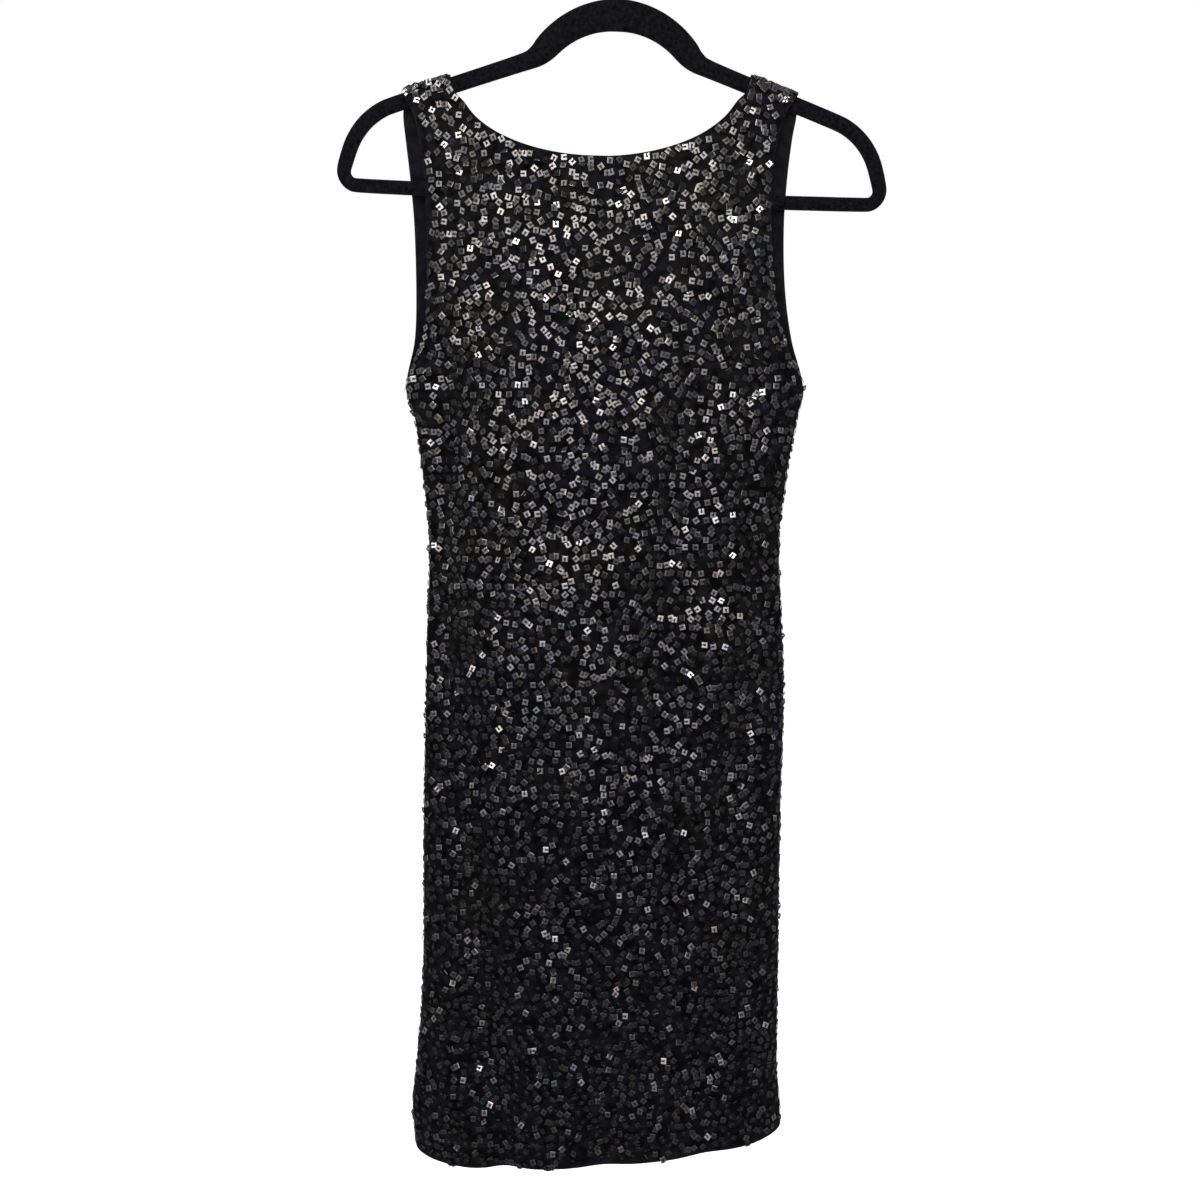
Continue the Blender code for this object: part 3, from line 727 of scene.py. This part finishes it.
class Crowd:
    """Places sewn so far, kept in small boxes so that neighbours are found fast."""

    def __init__(self):
        self.boxes = {}

    def key(self, place):
        return tuple(int(c // BOX) for c in place)

    def add(self, place):
        self.boxes.setdefault(self.key(place), []).append(place)

    def near(self, place, gap, but=()):
        i, j, k = self.key(place)
        for di in (-1, 0, 1):
            for dj in (-1, 0, 1):
                for dk in (-1, 0, 1):
                    for other in self.boxes.get((i + di, j + dj, k + dk), ()):
                        if (other - place).length < gap and other not in but:
                            return True
        return False


def surface_of(side):
    """The panel's outside as a search tree, and for each kind of rim a tree of its points."""
    grid = grids[side]
    _, quads = grid_faces(side)
    tree = BVHTree.FromPolygons([Vector(p) for p in grid.reshape(-1, 3)], quads.tolist())
    upper, strap, top = TURN_ROWS + UPPER_ROWS, STRAP_COLUMNS * FINE, grid[:, 0]
    lines = {
        "armhole": [grid[0, :upper], grid[-1, :upper]],
        "seam": [grid[0, upper:], grid[-1, upper:], top[1:strap], top[-strap:-1]],
        "neck": [top[strap:-strap]],
        "hem": [grid[:, -1]],
    }
    rims = {}
    for kind, parts in lines.items():
        steps = [mix(line[:-1], line[1:], t) for line in parts for t in (0, 0.25, 0.5, 0.75)]
        places = np.vstack(steps)
        rims[kind] = KDTree(len(places))
        for k, place in enumerate(places):
            rims[kind].insert(Vector(place), k)
        rims[kind].balance()
    return tree, rims


# %% Walk the needle
WHOLE_TURN = 2 * math.pi
STEP, STEP_SHARES = 5.7 * MM, (0.5, 1.5)  # a step is from half as long to half as long again
LINE_GAP = 6.15 * MM  # the least distance to another line of sequins
START_GAP = 6.35 * MM  # the same for the first sequin of a line
LINE_END = 0.2  # how often the thread is cut and a new line begun
FIRST_CURL, CURL_KEPT, CURL_ADDED = 0.35, 0.75, 0.34  # how much a line turns at each step
TRIES, SWERVE = 7, 0.16  # tries at a step, each of which may swerve by this much more
OFF_CLOTH = 0.8 * MM  # a step that ends further than this off the cloth has left it
CALM_EDGE, EDGE_REACH = 0.3, 5 * MM  # the share of the tilt that is left along the neck and hem
BUNCHED = 0.5  # on the straps' tops, the share of the usual gaps that is left
STRAP_TOP = 24 * MM  # how far down from the seam the sequins are bunched
Sewn = namedtuple("Sewn", "place normal heading calm flash")


def sew(side, seed):
    """All the sequins of a panel, line by line."""
    rng = random.Random(seed)
    tree, rims = surface_of(side)
    crowd = Crowd()
    starts = [Vector(p) for p in grids[side].reshape(-1, 3)]
    rng.shuffle(starts)
    sewn = []

    def settle(place):
        """The cloth's nearest point, its normal, the share of the gaps and that of the tilt."""
        spot, normal, _, distance = tree.find_nearest(place)
        below = float(seam_height(spot.x - DRESS_X)) - spot.z
        close = mix(BUNCHED, 1.0, float(smooth(below / STRAP_TOP)))
        to_rim = {kind: rim.find(spot)[2] for kind, rim in rims.items()}
        if distance > OFF_CLOTH or any(to_rim[kind] < MARGIN[kind] * close for kind in rims):
            return None
        free = min(to_rim[kind] - MARGIN[kind] for kind in ("neck", "hem"))
        calm = mix(CALM_EDGE, 1.0, float(smooth(free / EDGE_REACH)))
        return spot, normal, close, calm

    for start in starts:
        found = settle(start)
        if not found or crowd.near(found[0], START_GAP * found[2]):
            continue
        here, normal, close, calm = found
        heading = normal.orthogonal().normalized()
        heading.rotate(Matrix.Rotation(rng.uniform(0, WHOLE_TURN), 3, normal))
        curl = rng.gauss(0, FIRST_CURL)
        line = []
        while True:
            line.append(here)
            crowd.add(here)
            sewn.append(Sewn(here, normal, heading.copy(), calm, False))
            if rng.random() <= LINE_END:
                break
            curl = CURL_KEPT * curl + rng.gauss(0, CURL_ADDED)
            for attempt in range(TRIES):
                turn = curl + rng.gauss(0, SWERVE + SWERVE * attempt)
                way = heading.copy()
                way.rotate(Matrix.Rotation(turn, 3, normal))
                found = settle(here + way * STEP * close * rng.uniform(*STEP_SHARES))
                if found and not crowd.near(found[0], LINE_GAP * found[2], line[-2:]):
                    break
            else:
                break
            spot, normal, close, calm = found
            heading = (spot - here).normalized()
            here = spot
    return sewn


# %% Sew both panels
FLASHES = {  # places, in millimetres across and up, of the few sequins turned full to the lamp
    "front": [
        (-170, -155), (-170, -160), (-160, -155), (-150, -165), (-130, -215), (130, -160),
        (100, -205), (115, -205), (110, -240), (45, -210), (50, -260), (0, -240), (-155, -380),
        (95, -485), (95, -515), (85, -555), (-105, -695), (60, -620),
    ],
    "back": [
        (-160, -160), (-150, -170), (135, -165), (120, -200), (-120, -230), (85, -260),
        (20, -250), (-70, -305), (50, -360), (-95, -450), (110, -500), (-20, -540), (70, -655),
        (-105, -740),
    ],
}


def catch_light(places, spots):
    """Marks the sequin nearest to each spot as one that flashes."""
    across_and_up = np.array([(one.place.x, one.place.z) for one in places])
    for spot in spots:
        away = np.linalg.norm(across_and_up - np.array(spot) * MM, axis=1)
        k = int(np.argmin(away))
        places[k] = places[k]._replace(flash=True)


sewn = {"front": sew("front", 11), "back": sew("back", 23)}
for side, places in sewn.items():
    catch_light(places, FLASHES[side])
    each = cut[side][2] / len(places) / MM**2
    print(side, "sequins:", len(places), "one for each %.0f square millimetres" % each)


# %% [markdown]
# ## Film, thread, the sequins' tints and their painted shine
# A sequin is clear film with a thin layer of metal, in smoky grey. It mirrors a blurred piece
# of the room: one that faces the lamp flashes, its neighbour that tips away goes dark, and that
# is what makes the dress glitter, so the tilt of each matters more than its colour. The film's
# thickness varies from string to string, which tints some warm and some blue. That is kept as
# a colour on each sequin's points, and each colour is also made brighter or darker at random:
# painted shine, which stands in for how much light each sequin mirrors. The thread is spun
# polyester, dull and a little fuzzy.

# %% The film and thread materials
FILM_WAVES = 320.0  # in a metre, so the film waves every 3 mm
TWIST = 900.0  # in a metre, so the thread's twist is 1 mm long, coarse so that it shows


def film_material():
    """Vacuum metallised polyester film: a soft mirror, bright or dark by tilt and painted shine.
    """
    made, tree, shader, place = new_material(
        "smoky metallised film", Metallic=1.0, Roughness=0.3
    )
    # the tint attribute is each sequin's tint times its painted shine: painted light
    tint = add_node(tree, "ShaderNodeAttribute", attribute_name="tint")
    waves = {"Vector": place, "Scale": FILM_WAVES, "Detail": 2.0}
    wave = add_node(tree, "ShaderNodeTexNoise", waves).outputs["Fac"]
    raised = {"Height": wave, "Strength": 0.25, "Distance": 0.2 * MM}
    bump = add_node(tree, "ShaderNodeBump", raised)
    tree.links.new(tint.outputs["Color"], shader.inputs["Base Color"])
    tree.links.new(bump.outputs["Normal"], shader.inputs["Normal"])
    return made


def thread_material():
    """Spun polyester: a dull black line across each sequin, paler where its twist shows."""
    made, tree, shader, place = new_material(
        "black polyester thread", Roughness=0.7, Sheen_Weight=0.1
    )
    twist = add_node(tree, "ShaderNodeTexNoise", {"Vector": place, "Scale": TWIST})
    stops = (("#08080a", 0.0), ("#16161a", 1.0))
    ramp = add_node(tree, "ShaderNodeValToRGB", {"Fac": twist.outputs["Fac"]}, stops)
    tree.links.new(ramp.outputs["Color"], shader.inputs["Base Color"])
    return made


FILM_MATERIAL, THREAD = film_material(), thread_material()
TINTS = [  # each with how often it comes
    ("#6a6866", 12),
    ("#62605e", 8),
    ("#5b5a59", 8),
    ("#56575a", 3),
    ("#66605a", 2),
    ("#4c4c4e", 8),
]
print("sequin materials:", FILM_MATERIAL.name, "and", THREAD.name, "in", len(TINTS), "tints")


# %% [markdown]
# ## Put every sequin in its place
# Each sequin is turned at random, as it spins on its thread, and tipped a little, as it rests
# on the cloth and on its neighbour. A few are pushed up on edge, and a few are turned full to
# the lamp and flash, and their colour is painted brighter too. All of a band's sequins are
# joined into one mesh, because ten thousand objects would be slow to handle, and a band keeps
# each mesh to a size that other programs read with ease.

# %% Turn and tip a sequin
TILT, MOST_TILT = math.radians(12.5), math.radians(36)
PUSHED, PUSHED_BY = 0.12, math.radians(14)  # how often a neighbour tips one more, and by what
ON_EDGE, EDGE_TILT = 0.03, (math.radians(40), math.radians(62))  # a few are pushed up on edge
SIDEWAYS = 0.5  # but none where the cloth's normal has more x than this, at the side seams
FLATTER_ON_TOP = 0.75  # the share of the tilt that goes on the arms' tops and the side seams
REST = 0.35 * MM  # from the cloth to the middle of a sequin that lies flat on it
BULB = {"front": Vector((-0.35, -1.5, 1.25)), "back": Vector((0.35, 1.5, 1.25))}  # the bulbs
VIEWER = {"front": Vector((0, -0.77, -0.46)), "back": Vector((0, 0.77, -0.46))}  # who sees them


def pose(one, side, rng):
    """How a sequin is turned, and where its middle is."""
    tilt = min(abs(rng.gauss(0, TILT)) + (rng.random() < PUSHED) * PUSHED_BY, MOST_TILT)
    if rng.random() < ON_EDGE and abs(one.normal.x) < SIDEWAYS:
        tilt = rng.uniform(*EDGE_TILT)
    tilt *= one.calm * (1 - FLATTER_ON_TOP * max(0.0, one.normal.z, one.normal.x**4))
    lift = REST + SEQUIN * 0.5 * math.sin(min(tilt, MOST_TILT))
    z = one.normal.copy()
    if one.flash:
        tilt = 0.0
        to_lamp = (BULB[side] - one.place).normalized()
        to_viewer = (VIEWER[side] - one.place).normalized()
        z = (to_lamp + to_viewer).normalized()
    x = one.heading - z * one.heading.dot(z)
    x.normalize()
    axes = Matrix((x, z.cross(x), z)).transposed()
    spin, lean, turn = (Matrix.Rotation(rng.uniform(0, WHOLE_TURN), 3, "Z") for _ in range(3))
    tip = lean @ Matrix.Rotation(tilt, 3, Vector((1, 0, 0)))
    return np.array(axes @ tip @ turn @ spin), np.array(one.place + one.normal * lift)


# %% Stamp the sequins in bands
NEW_TINT = 0.6  # how often the next sequin has another tint
# painted shine: each sequin's colour is brightened or darkened at random, for the light it mirrors
PAINTED_SHINE = (-0.02, 0.55)  # the logarithm of a sequin's brightness: its middle and its spread
# the flashing sequins' colour is painted brighter still: a painted glint besides their turn to the
# bulb
FLASH_PAINTED_SHINE = 2.6
BANDS = {"upper": (-0.41, 1.0), "middle": (-0.74, -0.41), "lower": (-9.0, -0.74)}  # heights, m
FIRST_SEED = {"front": 100, "back": 110}


def stamp(name, side, places, seed):
    """One mesh of sequins and stitches, with each one's tint and painted shine on its points."""
    rng = random.Random(seed)
    points, faces, kinds, tints = [], [], [], []
    codes = [code for code, share in TINTS for _ in range(share)]
    count = 0
    tint = colour(rng.choice(codes))
    for one in places:
        if rng.random() < NEW_TINT:
            tint = colour(rng.choice(codes))
        turned, middle = pose(one, side, rng)
        # painted shine: the colour is brightened or darkened at random, and painted bright on
        # flashes
        painted_shine = FLASH_PAINTED_SHINE if one.flash else math.exp(rng.gauss(*PAINTED_SHINE))
        for kind, (shape, shape_faces) in enumerate((sequin_shape, stitch_shape)):
            points.append(shape @ turned.T + middle)
            faces += [[v + count for v in f] for f in shape_faces]
            kinds += [kind] * len(shape_faces)
            tints += [(*[c * painted_shine for c in tint[:3]], 1)] * len(shape)
            count += len(shape)
    mesh = bpy.data.meshes.new(name)
    mesh.from_pydata(np.vstack(points).tolist(), [], faces)
    mesh.materials.append(FILM_MATERIAL)
    mesh.materials.append(THREAD)
    mesh.polygons.foreach_set("material_index", np.array(kinds, np.int32))
    board = math.ceil(math.sqrt(len(places)))  # the map is a board of this many squares a side
    squares = np.array([divmod(k, board) for k in range(len(places))])
    layout = (squares[:, None, :] + one_map) / board
    mesh.uv_layers.new(name="OFBake").data.foreach_set("uv", layout.ravel())
    layer = mesh.attributes.new("tint", "FLOAT_COLOR", "POINT")
    layer.data.foreach_set("color", np.array(tints, np.float32).ravel())
    return show(name, mesh)


sequins = {side: [] for side in SIDES}
for side in SIDES:
    for number, (band, (low, high)) in enumerate(BANDS.items()):
        places = [one for one in sewn[side] if low <= one.place.z < high]
        piece = stamp(f"{side}_sequins_{band}", side, places, FIRST_SEED[side] + number)
        sequins[side].append(piece)
        print(piece.name, len(places), "sequins,", len(piece.data.polygons), "faces")


# %% [markdown]
# ## The facings, the hanger and the hook
# The strips of lining inside the back armholes, the moulded hanger and the bent wire are right
# in shape, but faceted. Each is copied, its loose triangles merged and turned back into
# quads, and a subdivision surface rounds it. The hook's stem is also carried down into the
# hanger's crown, where the real one is moulded in.

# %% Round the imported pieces
MERGED = 0.01 * MM  # points closer than this become one
QUAD_BEND, QUAD_SKEW = math.radians(50), math.radians(60)  # the most for two triangles to join
ROUNDING = 2  # levels of the subdivision surface
STEM_END, STEM_SUNK = 3 * MM, 5 * MM  # how much of the stem is moved, and how far down


def finer_copy(node, name):
    obj = show(name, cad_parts[node].data.copy())
    obj.data.materials.clear()
    select_only(obj)
    bpy.ops.object.mode_set(mode="EDIT")
    bpy.ops.mesh.select_all(action="SELECT")
    bpy.ops.mesh.remove_doubles(threshold=MERGED)
    bpy.ops.mesh.tris_convert_to_quads(face_threshold=QUAD_BEND, shape_threshold=QUAD_SKEW)
    bpy.ops.object.mode_set(mode="OBJECT")
    rounding = obj.modifiers.new("rounding", "SUBSURF")
    rounding.levels = rounding.render_levels = ROUNDING
    bpy.ops.object.modifier_apply(modifier=rounding.name)
    bpy.ops.object.shade_smooth()
    return obj


facings = [finer_copy("back_armhole_facing_" + w, "back_facing_" + w) for w in ("left", "right")]
hanger = finer_copy("hanger_frame", "flocked_hanger")
hook = finer_copy("hanger_hook", "wire_hook")
stem_foot = min(v.co.z for v in hook.data.vertices)
for vertex in hook.data.vertices:
    if vertex.co.z < stem_foot + STEM_END:
        vertex.co.z -= STEM_SUNK
for piece in facings + [hanger, hook]:
    print(piece.name, len(piece.data.polygons), "faces")


# %% [markdown]
# ## Flock, wire and jersey
# Flock is short nylon fibre shot onto glue: it drinks light, and only where it is seen edge on
# does it show a faint grey bloom, which is what sheen gives. Its fibres lean this way and that
# in patches a few millimetres wide, some of them a little greyer. The hook is mild steel wire,
# bright nickel plated, with faint draw marks.

# %% Materials of the facings, the hanger and the hook
FIBRE, NAP = 1400.0, 320.0  # in a metre: fibres 0.7 mm wide, coarse so that they show, nap 3 mm
DRAWN = 500.0  # in a metre, so the wire's draw marks are 2 mm long


def flock_material():
    """Nylon flock: a deep soft black with no shine and a fine uneven nap."""
    made, tree, shader, place = new_material(
        "black nylon flock",
        Roughness=0.95,
        Specular_IOR_Level=0.04,
        Sheen_Weight=0.03,
        Sheen_Roughness=0.5,
    )
    fibre = add_node(tree, "ShaderNodeTexNoise", {"Vector": place, "Scale": FIBRE, "Detail": 3.0})
    nap = add_node(tree, "ShaderNodeTexNoise", {"Vector": place, "Scale": NAP, "Detail": 4.0})
    stops = (("#020203", 0.32), ("#111116", 0.72))
    ramp = add_node(tree, "ShaderNodeValToRGB", {"Fac": nap.outputs["Fac"]}, stops)
    raised = {"Height": fibre.outputs["Fac"], "Strength": 0.6, "Distance": 0.4 * MM}
    bump = add_node(tree, "ShaderNodeBump", raised)
    tree.links.new(ramp.outputs["Color"], shader.inputs["Base Color"])
    tree.links.new(bump.outputs["Normal"], shader.inputs["Normal"])
    return made


def wire_material():
    """Drawn steel, nickel plated: a bright grey mirror, blurred a little along its marks."""
    made, tree, shader, place = new_material("nickel plated steel wire", Metallic=1.0)
    spread = {"Vector": place, "Scale": DRAWN, "Detail": 4.0}
    marks = add_node(tree, "ShaderNodeTexNoise", spread).outputs["Fac"]
    rough = add_node(tree, "ShaderNodeMapRange", {"Value": marks, "To Min": 0.12, "To Max": 0.24})
    stops = (("#8e8d8b", 0.0), ("#aeacaa", 1.0))
    worn = add_node(tree, "ShaderNodeValToRGB", {"Fac": marks}, stops)
    tree.links.new(rough.outputs[0], shader.inputs["Roughness"])
    tree.links.new(worn.outputs["Color"], shader.inputs["Base Color"])
    return made


def cloth_map(obj):
    """A flat map in metres, straight on from the front, for a narrow strip of cloth."""
    uv = obj.data.uv_layers.new(name="cloth")
    for loop in obj.data.loops:
        place = obj.data.vertices[loop.vertex_index].co
        uv.data[loop.index].uv = (place.x, place.z)


hanger.data.materials.append(flock_material())
hook.data.materials.append(wire_material())
for piece in facings:
    cloth_map(piece)
    piece.data.materials.append(JERSEY)
for piece in facings + [hanger, hook]:
    print(piece.name, "is", piece.data.materials[0].name)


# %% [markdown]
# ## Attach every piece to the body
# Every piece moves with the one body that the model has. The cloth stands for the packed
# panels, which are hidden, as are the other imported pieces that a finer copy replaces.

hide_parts("front_panel")
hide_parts("back_panel")
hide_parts("back_armhole_facing_left")
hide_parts("back_armhole_facing_right")
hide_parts("hanger_frame")
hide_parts("hanger_hook")
for side in cloth:
    for piece in [cloth[side]] + sequins[side]:
        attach(piece, "root")
for piece in facings:
    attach(piece, "root")
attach(hanger, "root")
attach(hook, "root")


# %% [markdown]
# ## Camera, floor and light
# The camera stands less than a metre away, a little above the waist, and looks slightly down,
# so the dress narrows towards its hem. The floor is a wide sheet of white paper in an equally
# white world. Sequins are small mirrors, so what they see matters as much as what lights them:
# the paper is kept out of the mirrors, and in them the world is a dim room, paler above. A
# large softbox stands high in front, so the upper sequins face it and glitter and those lower
# down mirror the dim room. A low fill and a small bulb, which the flashing sequins are turned
# to, stand by it, the same three stand behind, a softbox stands on each side, and a weak light
# from overhead picks out the folds.

# %% The stage
CAMERA_PLACE = (-17.0 * MM, -766 * MM, -463.8 * MM)
CAMERA_DOWN = 7.0  # degrees
FLOOR_SIZE, FLOOR_HEIGHT = 60, -1.75  # metres
PAPER_PATCHES = 3.0  # in a metre, so the paper's faint patches are 0.3 m wide
bpy.ops.object.select_all(action="DESELECT")
bpy.ops.object.camera_add(location=CAMERA_PLACE, rotation=(math.radians(90 - CAMERA_DOWN), 0, 0))
camera = bpy.context.active_object
camera.data.lens, camera.data.sensor_width = 27.0, 36.0
bpy.context.scene.camera = camera


def paper_sweep():
    """A floor of matt white paper, faintly uneven, that reaches past what the camera sees."""
    bpy.ops.object.select_all(action="DESELECT")
    bpy.ops.mesh.primitive_plane_add(size=FLOOR_SIZE, location=(0, 0, FLOOR_HEIGHT))
    obj = bpy.context.active_object
    obj.name = "paper_sweep"
    obj.visible_glossy = False
    made, tree, shader, place = new_material("matt white paper", Roughness=0.9)
    grain = add_node(tree, "ShaderNodeTexNoise", {"Vector": place, "Scale": PAPER_PATCHES})
    stops = (("#f1f0ee", 0.0), ("#f6f5f3", 1.0))
    ramp = add_node(tree, "ShaderNodeValToRGB", {"Fac": grain.outputs["Fac"]}, stops)
    tree.links.new(ramp.outputs["Color"], shader.inputs["Base Color"])
    obj.data.materials.append(made)
    return obj


floor = paper_sweep()
print("camera at, m:", CAMERA_PLACE, "and floor at", FLOOR_HEIGHT)


# %% The lamps
Lamp = namedtuple("Lamp", "name place aim_height size watts code")
LAMPS = [
    Lamp("front_softbox", (-0.25, -1.75, 0.68), -0.35, (1.0, 1.7), 28, "#fffbf4"),
    Lamp("front_low_fill", (0.1, -1.85, -0.65), -0.55, (0.9, 0.95), 6.0, "#e6e4f8"),
    Lamp("back_softbox", (0.25, 1.75, 0.68), -0.35, (1.0, 1.7), 28, "#fffbf4"),
    Lamp("back_low_fill", (-0.1, 1.85, -0.65), -0.55, (0.9, 0.95), 6.0, "#e6e4f8"),
    Lamp("left_softbox", (-1.9, -0.3, 0.35), -0.45, (0.7, 1.5), 9, "#fffcf8"),
    Lamp("right_softbox", (1.9, 0.3, 0.35), -0.45, (0.7, 1.5), 9, "#fffcf8"),
    Lamp("front_bulb", BULB["front"], -0.35, (0.1, 0.1), 3, "#ffffff"),
    Lamp("back_bulb", BULB["back"], -0.35, (0.1, 0.1), 3, "#ffffff"),
]


def soft_lamp(one):
    bpy.ops.object.select_all(action="DESELECT")
    bpy.ops.object.light_add(type="AREA", location=one.place)
    lamp = bpy.context.active_object
    lamp.name = one.name
    lamp.data.shape = "RECTANGLE"
    lamp.data.size, lamp.data.size_y = one.size
    lamp.data.energy = one.watts
    lamp.data.color = colour(one.code)[:3]
    way = Vector((0, 0, one.aim_height)) - Vector(one.place)
    lamp.rotation_euler = way.to_track_quat("-Z", "Y").to_euler()


for one in LAMPS:
    soft_lamp(one)
bpy.ops.object.light_add(type="SUN", location=(0, 0, 3), rotation=(math.radians(-18), 0, 0))
overhead = bpy.context.active_object
overhead.name = "overhead_light"
overhead.data.energy, overhead.data.angle = 0.8, math.radians(20)
print("lamps:", ", ".join(one.name for one in LAMPS), "and", overhead.name)


# %% The world around
ROOM_HEIGHTS, ROOM_SHADES = (-0.75, 0.4), (0.11, 0.29)  # dim below, paler above


def room():
    """White paper all round for the eye and for soft light, and a dim room in the mirrors."""
    made = bpy.data.worlds.new("room")
    made.use_nodes = True
    tree = made.node_tree
    white = tree.nodes["Background"]
    white.inputs["Color"].default_value = colour("#ffffff")
    direction = add_node(tree, "ShaderNodeTexCoord").outputs["Generated"]
    height = add_node(tree, "ShaderNodeSeparateXYZ", {0: direction}).outputs["Z"]
    ends = dict(zip(("From Min", "From Max", "To Min", "To Max"), ROOM_HEIGHTS + ROOM_SHADES))
    ends["Value"] = height
    shade = add_node(tree, "ShaderNodeMapRange", ends, interpolation_type="SMOOTHSTEP")
    dimmed = {"Color": colour("#e6e9f2"), "Strength": shade.outputs[0]}
    dim = add_node(tree, "ShaderNodeBackground", dimmed)
    in_mirrors = add_node(tree, "ShaderNodeLightPath").outputs["Is Glossy Ray"]
    seen = {0: in_mirrors, 1: white.outputs[0], 2: dim.outputs[0]}
    both = add_node(tree, "ShaderNodeMixShader", seen)
    tree.links.new(both.outputs[0], tree.nodes["World Output"].inputs["Surface"])
    return made


bpy.context.scene.world = room()
bpy.context.scene.view_settings.view_transform = "Standard"
